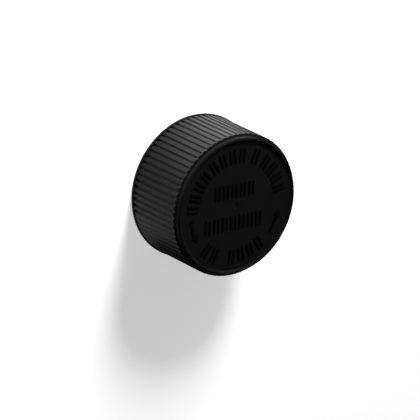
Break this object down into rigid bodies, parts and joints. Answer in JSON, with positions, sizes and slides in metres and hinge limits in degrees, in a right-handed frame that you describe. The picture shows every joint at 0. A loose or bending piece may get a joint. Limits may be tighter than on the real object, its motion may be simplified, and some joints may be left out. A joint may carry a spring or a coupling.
{
  "type": "child-resistant push-and-turn bottle cap",
  "caption": "Push-and-turn child-resistant bottle cap: ribbed outer shell that turns idly round a threaded inner cap with a foam liner.",
  "frame": {"origin": "on the cap's axis, in the plane of its open rim, which it stands on", "axes": "+Z along the cap's axis, from the open rim to the closed top; +X is any direction along a groove between two ribs"},
  "size_m": [0.036, 0.036, 0.0182],
  "materials": {
    "outer_cap": "black moulded polypropylene, satin gloss",
    "inner_cap": "natural moulded polypropylene",
    "liner": "white closed-cell polyethylene foam"
  },
  "bodies": {
    "outer": {"outer_cap": "outer_cap"},
    "liner": {"liner": "liner"},
    "inner": {"inner_cap": "inner_cap"}
  },
  "joints": [
    {"name": "push", "type": "slide", "parent": "outer", "child": "liner", "axis": [0, 0, 1], "range_m": [0, 0.0015]},
    {"name": "spin", "type": "hinge", "parent": "liner", "child": "inner", "pos_m": [0, 0, 0.0064], "axis": [0, 0, 1], "continuous": true}
  ]
}
